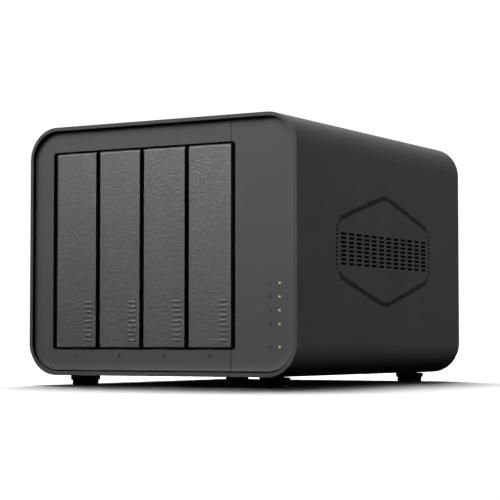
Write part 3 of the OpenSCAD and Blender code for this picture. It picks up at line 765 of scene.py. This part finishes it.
def add_grip_ribs(n):
    """A short ladder of raised ribs near the lower right of a tray front."""
    lo, hi = HANDLES[n]
    ribs, pitch = 9, 2.75 * MM
    rib_w, rib_h, proud = 5.2 * MM, 1.25 * MM, 0.3 * MM
    x = hi[0] - 5.2 * MM
    bm = bmesh.new()
    for k in range(ribs):
        z = lo[2] + 3.9 * MM + k * pitch
        box_into(bm, (x - rib_w / 2, lo[1] - proud, z), (x + rib_w / 2, lo[1] + proud, z + rib_h))
    bmesh.ops.bevel(bm, geom=bm.edges[:], offset=0.14 * MM, segments=2, profile=0.5, affect="EDGES")
    ribs_obj = mesh_object(f"grip_ribs_{n}", bm, TRAY_FRONT)
    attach(ribs_obj, f"handle_{n}")


def dress_trays():
    """Materials for each tray, its front and its pin, with the ribs, spring and plunger."""
    for n in BAYS:
        dress(f"tray_handle_{n}", TRAY_FRONT, edge=0.12 * MM)
        dress(f"tray_{n}", INNER, edge=0.2 * MM)
        dress(f"handle_pin_{n}", SCREW_METAL, edge=0.2 * MM)
        add_grip_ribs(n)
        add_handle_spring(n)
        add_plunger(n)


def add_handle_spring(n):
    """A torsion spring wound round the handle's pin, with a leg at each end."""
    lo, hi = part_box(f"handle_spring_{n}")
    pin_lo, pin_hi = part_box(f"handle_pin_{n}")
    y, z = (pin_lo[1] + pin_hi[1]) / 2, (pin_lo[2] + pin_hi[2]) / 2
    wire_r = 0.3 * MM
    coil_r, turns, steps = 1.6 * MM, 7.5, 16
    x0, x1 = lo[0] + wire_r, hi[0] - wire_r
    path = [Vector((x0, y - coil_r, z + leg * MM)) for leg in (9, 6, 3, 1)]
    for k in range(round(turns * steps) + 1):
        a = math.pi + math.tau * k / steps
        x = x0 + (x1 - x0) * k / (turns * steps)
        path.append(Vector((x, y + coil_r * math.cos(a), z + coil_r * math.sin(a))))
    path += [Vector((x1, y + coil_r, z + leg * MM)) for leg in (1, 3, 6, 9)]
    bm = bmesh.new()
    tube(bm, path, wire_r)
    ride_and_replace(mesh_object(f"spring_wire_{n}", bm, SPRING_STEEL), f"tray_{n}",
                     f"handle_spring_{n}")


def add_plunger(n):
    """The push-to-open plunger: a rod with a domed tip and a collar."""
    lo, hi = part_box(f"latch_plunger_{n}")
    r = (hi[0] - lo[0]) / 2
    x, z = (lo[0] + hi[0]) / 2, (lo[2] + hi[2]) / 2
    tip = [(lo[1] + 1.6 * MM * (1 - math.sin(t)), max(0.3 * MM, r * math.cos(t)))
           for t in [math.radians(a) for a in (80, 60, 40, 20, 0)]]
    bm = bmesh.new()
    lathe(bm, tip + [(hi[1] - 0.4 * MM, r), (hi[1], r - 0.4 * MM)], "y", (x, 0, z))
    ride_and_replace(mesh_object(f"plunger_rod_{n}", bm, WHITE_PLASTIC), f"plunger_{n}",
                     f"latch_plunger_{n}")


# ---------------------------------------------------------------- fan and rear

def add_fan_rotor():
    """A hub cup with curved, twisted blades."""
    lo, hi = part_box("fan_rotor")
    x, z = (lo[0] + hi[0]) / 2, (lo[2] + hi[2]) / 2
    front, back = lo[1], hi[1]
    hub_r, tip_r, blades = 20 * MM, 56.3 * MM, 7
    round_r = 2 * MM
    nose = [(front + round_r * (1 - math.cos(t)), hub_r - round_r * (1 - math.sin(t)))
            for t in [math.radians(a) for a in range(0, 91, 15)]]
    cup = [(front, 0.5 * MM), (front, hub_r - round_r - 1 * MM)] + nose
    cup += [(back, hub_r), (back, hub_r - 2.5 * MM), (front + 2.5 * MM, hub_r - 2.5 * MM),
            (front + 2.5 * MM, 1.5 * MM), (front + 14 * MM, 1.5 * MM)]
    bm = bmesh.new()
    lathe(bm, cup, "y", (x, 0, z), 72)
    spans, chords = 9, 8
    mid_y, half_depth = (front + back) / 2, (back - front) / 2 - 0.8 * MM
    for n in range(blades):
        sheets = []
        for face in (-1, 1):
            sheet = []
            for i in range(spans + 1):
                u = i / spans
                r = hub_r - 0.8 * MM + (tip_r - hub_r + 0.8 * MM) * u
                half = (8 + 5 * u) * MM / r
                row = []
                for j in range(chords + 1):
                    v = 2 * j / chords - 1
                    angle = math.tau * n / blades + math.radians(26) * u * u + half * v
                    thick = (1.1 * MM - 0.3 * MM * u) * (1 - 0.75 * v * v)
                    bow = 1.6 * MM * (1 - v * v)
                    depth = mid_y + half_depth * v * (0.94 - 0.18 * u) - bow + face * thick
                    row.append(bm.verts.new((x + r * math.cos(angle), depth, z + r * math.sin(angle))))
                sheet.append(row)
            sheets.append(sheet)
        close_sheets(bm, *sheets)
    ride_and_replace(mesh_object("rotor_blades", bm, FAN_PLASTIC), "fan_rotor", "fan_rotor")


def close_sheets(bm, a, b):
    """Joins two equal grids of vertices into a closed sheet."""
    for sheet in (a, b):
        for row, above in zip(sheet, sheet[1:]):
            for j in range(len(row) - 1):
                bm.faces.new((row[j], row[j + 1], above[j + 1], above[j]))
    rims = [s[0] + [r[-1] for r in s[1:]] + s[-1][-2::-1] + [r[0] for r in s[-2:0:-1]] for s in (a, b)]
    bridge(bm, rims, closed=False)


def add_fan_motor():
    """A stator: a laminated core with four copper windings round the bearing tube."""
    lo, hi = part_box("fan_motor")
    x, z = (lo[0] + hi[0]) / 2, (lo[2] + hi[2]) / 2
    core_r, flange_r, tube_r, bore_r = 14 * MM, 12 * MM, 4.2 * MM, 1.6 * MM
    flange_y = hi[1] - 1.2 * MM
    core_y = (lo[1] + 3 * MM, lo[1] + 10 * MM)
    circle = [math.tau * j / 20 for j in range(20)]
    bm = bmesh.new()
    lathe(bm, [(lo[1], bore_r), (lo[1], tube_r), (flange_y, tube_r), (flange_y, flange_r),
               (hi[1], flange_r), (hi[1], bore_r)], "y", (x, 0, z))
    ride_and_replace(mesh_object("motor_tube", bm, BRASS), "chassis", "fan_motor")
    for kind, material in (("core", STEEL), ("winding", COPPER)):
        bm = bmesh.new()
        for k in range(4):
            turn = Matrix.Translation((x, 0, z)) @ Matrix.Rotation(math.pi / 4 + k * math.pi / 2, 4, "Y")
            if kind == "core":
                verts = box_into(bm, (4 * MM, core_y[0], -2.2 * MM), (12.6 * MM, core_y[1], 2.2 * MM))
                shoe_r = core_r - 0.6 * MM
                verts += box_into(bm, (12.2 * MM, core_y[0], -6 * MM), (shoe_r, core_y[1], 6 * MM))
                bmesh.ops.transform(bm, matrix=turn, verts=verts)
            else:
                for i in range(6):
                    reach = 5.2 * MM + i * 1.15 * MM
                    ring = [(reach, lo[1] + 6.5 * MM + 5 * MM * math.cos(a), 4.2 * MM * math.sin(a))
                            for a in circle]
                    tube(bm, [turn @ Vector(p) for p in ring], 0.58 * MM, closed=True)
        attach(mesh_object(f"motor_{kind}", bm, material), "chassis")


def add_screws(node, head_r, spots):
    """Pan-head screws with cross recesses, standing out behind the rear panel."""
    lo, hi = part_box(node)
    back = hi[1]
    head_t = 2 * MM
    shank_r = head_r * 0.52
    bm, crosses = bmesh.new(), bmesh.new()
    for x, z in spots:
        dome = [(back - head_t + head_t * math.sin(t), head_r * (0.62 + 0.38 * math.cos(t)))
                for t in [math.radians(a) for a in (0, 25, 50, 70, 90)]]
        shank = [(lo[1], shank_r * 0.6), (lo[1] + 1 * MM, shank_r), (back - head_t, shank_r)]
        lathe(bm, shank + dome, "y", (x, 0, z))
        for w, h in ((head_r * 0.5, head_r * 0.09), (head_r * 0.09, head_r * 0.5)):
            box_into(crosses, (x - w, back - 1.1 * MM, z - h), (x + w, back + 1 * MM, z + h))
    obj = mesh_object(node + "_heads", bm, SCREW_METAL)
    for cross in split_solids(crosses):
        cut(obj, cross)
    ride_and_replace(obj, "chassis", node)


def add_port_details():
    """Contacts, tongues and lights inside the rear sockets."""
    board_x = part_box("mainboard")[1][0]
    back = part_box("lan_ports")[1][1]
    network_z, usb_z, video_z = (100 * MM, 82 * MM), (64.5 * MM, 49.5 * MM), 120 * MM
    gold, plastic, glow = bmesh.new(), bmesh.new(), bmesh.new()
    for z in network_z:
        for k in range(8):
            at = z + (k - 3.5) * 1.02 * MM
            path = [Vector((board_x + px * MM, back - py * MM, at))
                    for px, py in ((2.35, 14), (2.7, 9), (4.4, 5), (4.9, 4.2), (4.7, 3.4))]
            tube(gold, path, 0.2 * MM, sides=6)
        for dz in (-6.6, 5.2):
            box_into(glow, (board_x + 11.3 * MM, back - 1 * MM, z + dz * MM),
                     (board_x + 12.9 * MM, back + 0.15 * MM, z + (dz + 1.4) * MM))
    for z in usb_z:
        box_into(plastic, (board_x + 0.7 * MM, back - 12.2 * MM, z - 5.6 * MM),
                 (board_x + 2.7 * MM, back - 0.5 * MM, z + 5.6 * MM))
        for k in range(4):
            at = z + (k - 1.5) * 2.3 * MM
            box_into(gold, (board_x + 2.6 * MM, back - 10 * MM, at - 0.5 * MM),
                     (board_x + 2.85 * MM, back - 1.2 * MM, at + 0.5 * MM))
    box_into(plastic, (board_x + 2.1 * MM, back - 9.6 * MM, video_z - 5.4 * MM),
             (board_x + 3.4 * MM, back - 1 * MM, video_z + 5.4 * MM))
    for k in range(10):
        at = video_z + (k - 4.5) * 1 * MM
        for face in (2.03, 3.37):
            box_into(gold, (board_x + face * MM, back - 8 * MM, at - 0.22 * MM),
                     (board_x + (face + 0.1) * MM, back - 1.6 * MM, at + 0.22 * MM))
    jack_x, jack_z = board_x + 5.5 * MM, 31 * MM
    pin = [(back - 9.8 * MM, 1.05 * MM), (back - 1 * MM, 1.05 * MM), (back - 0.45 * MM, 0.6 * MM)]
    lathe(gold, pin, "y", (jack_x, 0, jack_z), 20)
    for part, material, name in ((gold, GOLD, "port_contacts"), (plastic, SOCKET, "port_tongues"),
                                 (glow, LENS, "link_lights")):
        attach(mesh_object(name, part, material), "chassis")


# ---------------------------------------------------------------- feet

def add_feet():
    """Cups with a rounded lip, and rubber pads with a moulded groove."""
    _, cups_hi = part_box("foot_cups")
    cup_r = cups_hi[0] - FOOT_X
    pad_r = (FOOT_HI[0] - FOOT_LO[0]) / 2
    stem_r, sleeve_z = 5 * MM, SLEEVE_LO[2]
    cup = [(z * MM, cup_r - inset * MM) for z, inset in ((3.0, 0.9), (3.0, 0.4), (3.12, 0.12), (3.4, 0.0))]
    cup += [(sleeve_z - 0.6 * MM, cup_r), (sleeve_z - 0.3 * MM, cup_r - 0.3 * MM),
            (sleeve_z - 0.3 * MM, stem_r), (cups_hi[2], stem_r)]
    pad_shape = ((0.0, 0.62), (0.0, 0.9), (0.12, 0.955), (0.4, 0.99), (0.7, 1.0), (1.5, 1.0),
                 (1.62, 0.985), (1.85, 0.985), (1.97, 1.0), (3.3, 1.0), (3.3, 0.5))
    cups = bmesh.new()
    for sx in (-1, 1):
        for sy in (-1, 1):
            lathe(cups, cup, "z", (sx * FOOT_X, sy * FOOT_Y, 0), 48)
    ride_and_replace(mesh_object("foot_cup_rings", cups, INNER), "chassis", "foot_cups")
    corners = {"front_left": (-1, -1), "front_right": (1, -1), "back_left": (-1, 1), "back_right": (1, 1)}
    for name, (sx, sy) in corners.items():
        pad = bmesh.new()
        profile = [(z * MM, pad_r * share) for z, share in pad_shape]
        lathe(pad, profile, "z", (sx * FOOT_X, sy * FOOT_Y, 0), 48)
        ride_and_replace(mesh_object(f"foot_pad_{name}", pad, RUBBER), "chassis",
                         f"foot_{name}")


# ---------------------------------------------------------------- circuit boards

def component_block(bm, face, out, u, v, size, height, edge=0.12):
    """A flat part on a board: face is the axis and place of its surface, out the side it stands on, and
    u, v, size, height and edge are in millimetres."""
    axis, at = face
    grow = height if out > 0 else -height
    lo, hi = sorted((at, at + grow * MM))
    du, dv = size[0] / 2, size[1] / 2
    if axis == "x":
        box = (lo, (u - du) * MM, (v - dv) * MM), (hi, (u + du) * MM, (v + dv) * MM)
    else:
        box = ((u - du) * MM, lo, (v - dv) * MM), ((u + du) * MM, hi, (v + dv) * MM)
    verts = box_into(bm, *box)
    edges = list(dict.fromkeys(e for vert in verts for e in vert.link_edges))
    bmesh.ops.bevel(bm, geom=edges, offset=edge * MM, segments=2, profile=0.5, affect="EDGES")


def add_mainboard_parts():
    """Chips, coils, capacitors, connectors and small parts on the mainboard's right face."""
    face = ("x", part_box("mainboard")[1][0])
    x = face[1]
    chips, legs, cans, sleeves, small = [bmesh.new() for _ in range(5)]
    chip_spots = ((70, 92, 7, 0.9), (70, 78, 7, 0.9), (22, 46, 14, 1.4), (-30, 29, 5, 1.2), (66, 52, 6, 0.9),
                  (0, 30, 9, 1.2), (46, 30, 6, 1.0), (-50, 125, 6, 1.0), (26, 131, 8, 1.2))
    capacitor_spots = ((76, 28), (76, 37), (66, 28), (66, 37), (-20, 128), (-31, 128), (12, 130))
    header_spots = ((60, 132, 5, 12), (-53, 60, 5, 16), (-53, 30, 5, 8))
    pin_pitch, header_pitch = 0.8, 2
    for y, z, size, height in chip_spots:
        component_block(chips, face, 1, y, z, (size, size), height)
        pins = int(size / pin_pitch)
        for k in range(pins):
            offset = (k - (pins - 1) / 2) * pin_pitch
            for side in (-1, 1):
                reach = side * (size / 2 + 0.5)
                component_block(legs, face, 1, y + reach, z + offset, (1.1, 0.35), 0.3, 0.05)
                component_block(legs, face, 1, y + offset, z + reach, (0.35, 1.1), 0.3, 0.05)
    for k in range(4):
        component_block(chips, face, 1, 66, 102 + k * 9, (7.4, 7.4), 4.2, 0.5)
        component_block(legs, face, 1, 66, 102 + k * 9, (8.6, 3), 0.6, 0.1)
    for y, z in capacitor_spots:
        lathe(sleeves, [(x - 0.2 * MM, 2.9 * MM), (x + 6.2 * MM, 2.9 * MM), (x + 6.5 * MM, 2.6 * MM)], "x",
              (0, y * MM, z * MM), 28)
        lathe(cans, [(x + 6.2 * MM, 2.45 * MM), (x + 6.75 * MM, 2.45 * MM), (x + 6.9 * MM, 2.2 * MM)], "x",
              (0, y * MM, z * MM), 28)
    clock_cell = [(x + h * MM, r * MM) for h, r in ((1.2, 9.8), (1.5, 10), (3.9, 10), (4.2, 9.7),
                                                    (4.2, 8.6), (4.05, 8.5))]
    lathe(cans, clock_cell, "x", (0, 42 * MM, 44 * MM), 48)
    component_block(chips, face, 1, 42, 44, (23, 6), 1.6, 0.3)
    scatter = random.Random(7)
    for _ in range(150):
        y, z = scatter.uniform(-57, 82), scatter.choice((scatter.uniform(24, 38), scatter.uniform(124, 136)))
        size = (1.6, 0.8) if scatter.random() < 0.5 else (0.8, 1.6)
        component_block(small, face, 1, y, z, size, 0.5, 0.08)
    sockets = bmesh.new()
    socket_face = ("x", x + 5.8 * MM)
    for y, z, w, h in header_spots:
        component_block(sockets, face, 1, y, z, (w, h), 6, 0.3)
        pins = int(h / header_pitch) - 1
        for k in range(pins):
            offset = (k - (pins - 1) / 2) * header_pitch
            component_block(legs, socket_face, 1, y, z + offset, (0.6, 0.6), 0.5, 0.06)
    for bm, material, name in ((chips, CHIP, "board_chips"), (legs, PORT_METAL, "board_pins"),
                               (cans, ALUMINIUM, "board_cans"), (sleeves, INNER, "capacitor_sleeves"),
                               (small, CERAMIC, "board_small_parts"),
                               (sockets, WHITE_PLASTIC, "board_headers")):
        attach(mesh_object(name, bm, material), "chassis")


def add_memory_chips():
    """Memory chips on the module, and its gold contact edge."""
    lo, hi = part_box("memory_module")
    chips, gold = bmesh.new(), bmesh.new()
    for k in range(4):
        z = 50 + k * 16.4
        component_block(chips, ("x", hi[0]), 1, -29, z, (12, 9), 1.0)
        component_block(chips, ("x", lo[0]), -1, -29, z, (12, 9), 1.0)
    for k in range(60):
        z = lo[2] / MM + 3 + k * 1.04
        component_block(gold, ("x", hi[0]), 1, -42.2, z, (1.6, 0.5), 0.06, 0.01)
    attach(mesh_object("memory_chips", chips, CHIP), "chassis")
    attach(mesh_object("memory_contacts", gold, GOLD), "chassis")


def add_backplane_parts():
    """Gold contacts in the drive sockets, and small parts between them."""
    lo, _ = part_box("backplane_board")
    socket_lo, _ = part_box("sata_sockets")
    gold, parts = bmesh.new(), bmesh.new()
    for n in BAYS:
        x = (HANDLES[n][0][0] + HANDLES[n][1][0]) / 2 / MM
        for k in range(22):
            z = 44.5 + k * 1.27 + (6.5 if k > 6 else 0)
            box_into(gold, ((x - 8.72) * MM, socket_lo[1] + 0.8 * MM, (z - 0.35) * MM),
                     ((x - 8.55) * MM, socket_lo[1] + 4.6 * MM, (z + 0.35) * MM))
        for z in (34, 92, 100, 112, 122):
            component_block(parts, ("y", lo[1]), -1, x - 8, z, (4, 3), 1.1)
    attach(mesh_object("drive_contacts", gold, GOLD), "chassis")
    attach(mesh_object("backplane_parts", parts, CHIP), "chassis")


def add_lamp_board_parts():
    """A resistor beside each light pipe, and the board's connector."""
    _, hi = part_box("lamp_board")
    lamps, plug = bmesh.new(), bmesh.new()
    for z in LAMP_Z:
        component_block(lamps, ("y", hi[1]), 1, LAMP_X / MM - 3.4, z / MM, (1.6, 1.2), 0.6)
    component_block(plug, ("y", hi[1]), 1, 75.5, 40, (4, 9), 0.9)
    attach(mesh_object("lamp_resistors", lamps, CHIP), "chassis")
    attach(mesh_object("lamp_plug", plug, WHITE_PLASTIC), "chassis")


# ---------------------------------------------------------------- everything else

def dress_rest():
    """Materials for the CAD nodes that show as they are."""
    for node in ("cage_left_wall", "cage_right_wall", "cage_top", "cage_bottom", "base_plate",
                 "lamp_bracket"):
        dress(node, STEEL, edge=0.15 * MM)
    for node in ("guide_top", "guide_bottom"):
        dress(node, INNER, edge=0.2 * MM)
    dress("power_button", INNER, edge=0.4 * MM, segments=3)
    dress("fan_frame", FAN_PLASTIC, edge=0.4 * MM)
    for node in ("backplane_board", "mainboard", "lamp_board", "memory_module"):
        dress(node, BOARD)
    for node in ("sata_sockets", "backplane_connector", "memory_socket", "dc_jack", "power_switch"):
        dress(node, SOCKET, edge=0.15 * MM)
    for node in ("lan_ports", "usb_ports", "hdmi_port"):
        dress(node, PORT_METAL, edge=0.12 * MM)
    dress("heat_sink", ALUMINIUM, edge=0.15 * MM)
    dress("processor", SCREW_METAL, edge=0.15 * MM)
    dress("board_standoffs", BRASS, edge=0.2 * MM)
    dress("rear_panel", REAR, edge=0.15 * MM)
    dress("status_lamps", LAMP, edge=0.15 * MM)


add_camera()
floor = add_floor()
add_world()
add_area("key_light", (-0.5, -0.95, 0.95), (0, -0.1, 0.28), (0.6, 0.4), 5.6, spread=44, spare=floor)
add_area("side_light", (1.0, 0.25, 1.0), (0, 0, 0.08), (0.7, 0.7), 27, spare=floor)
add_area("top_light", (-0.55, 0.72, 1.4), (0, 0.05, 0.0), (1.2, 0.9), 66)
bpy.context.scene.view_settings.view_transform = "Standard"
for k, (x, y) in enumerate(circle_points(0, 0, 2.5, 6)):
    add_area(f"floor_light_{k}", (x, y, 1.6), (x, y, 0), (1.8, 1.8), 38, spread=75)
add_sleeve()
add_front_panel()
add_marks()
dress_trays()
add_fan_rotor()
add_fan_motor()
add_screws("rear_screws", 2.5 * MM, REAR_SCREWS)
add_screws("fan_screws", 3.6 * MM, FAN_SCREWS)
add_port_details()
add_feet()
add_mainboard_parts()
add_memory_chips()
add_backplane_parts()
add_lamp_board_parts()
dress_rest()
